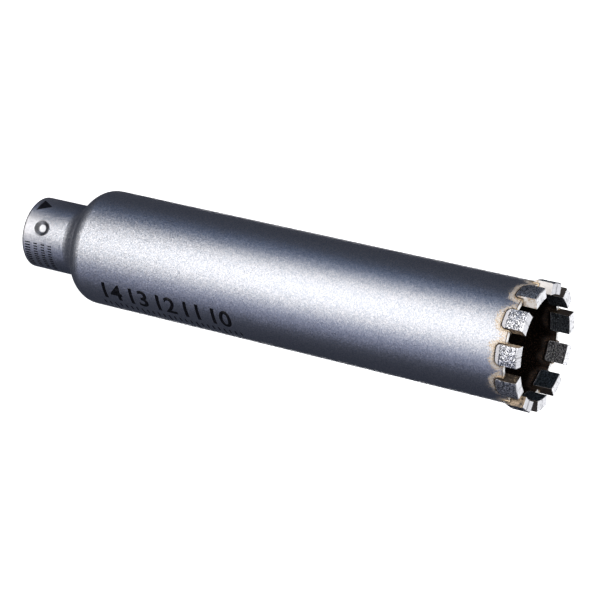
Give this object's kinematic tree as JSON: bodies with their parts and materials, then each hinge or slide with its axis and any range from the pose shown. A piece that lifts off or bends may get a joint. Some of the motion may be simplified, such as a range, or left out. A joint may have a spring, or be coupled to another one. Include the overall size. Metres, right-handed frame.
{
  "type": "diamond core bit",
  "caption": "Dry diamond core bit: thin steel barrel with a domed shoulder, a hollow quick-change neck and a crown of brazed saddle segments.",
  "frame": {"origin": "centre of the neck's flat rear face, which the bit stands on", "axes": "+Z along the tool's axis, from the neck to the cutting crown; -Y through the middle of the first segment"},
  "size_m": [0.038, 0.0378, 0.178],
  "materials": {
    "silver_paint": "satin silver metallic paint with a fine grain, over steel",
    "segment_matrix": "sintered metal with embedded grit, dressed smooth on the front faces",
    "braze_alloy": "gold-coloured silver solder with a dull skin"
  },
  "bodies": {
    "root": {"barrel": "silver_paint", "segment_01": "segment_matrix", "segment_02": "segment_matrix", "segment_03": "segment_matrix", "segment_04": "segment_matrix", "segment_05": "segment_matrix", "segment_06": "segment_matrix", "segment_07": "segment_matrix", "segment_08": "segment_matrix", "segment_09": "segment_matrix", "segment_10": "segment_matrix", "segment_11": "segment_matrix", "braze_01": "braze_alloy", "braze_02": "braze_alloy", "braze_03": "braze_alloy", "braze_04": "braze_alloy", "braze_05": "braze_alloy", "braze_06": "braze_alloy", "braze_07": "braze_alloy", "braze_08": "braze_alloy", "braze_09": "braze_alloy", "braze_10": "braze_alloy", "braze_11": "braze_alloy"}
  },
  "joints": []
}
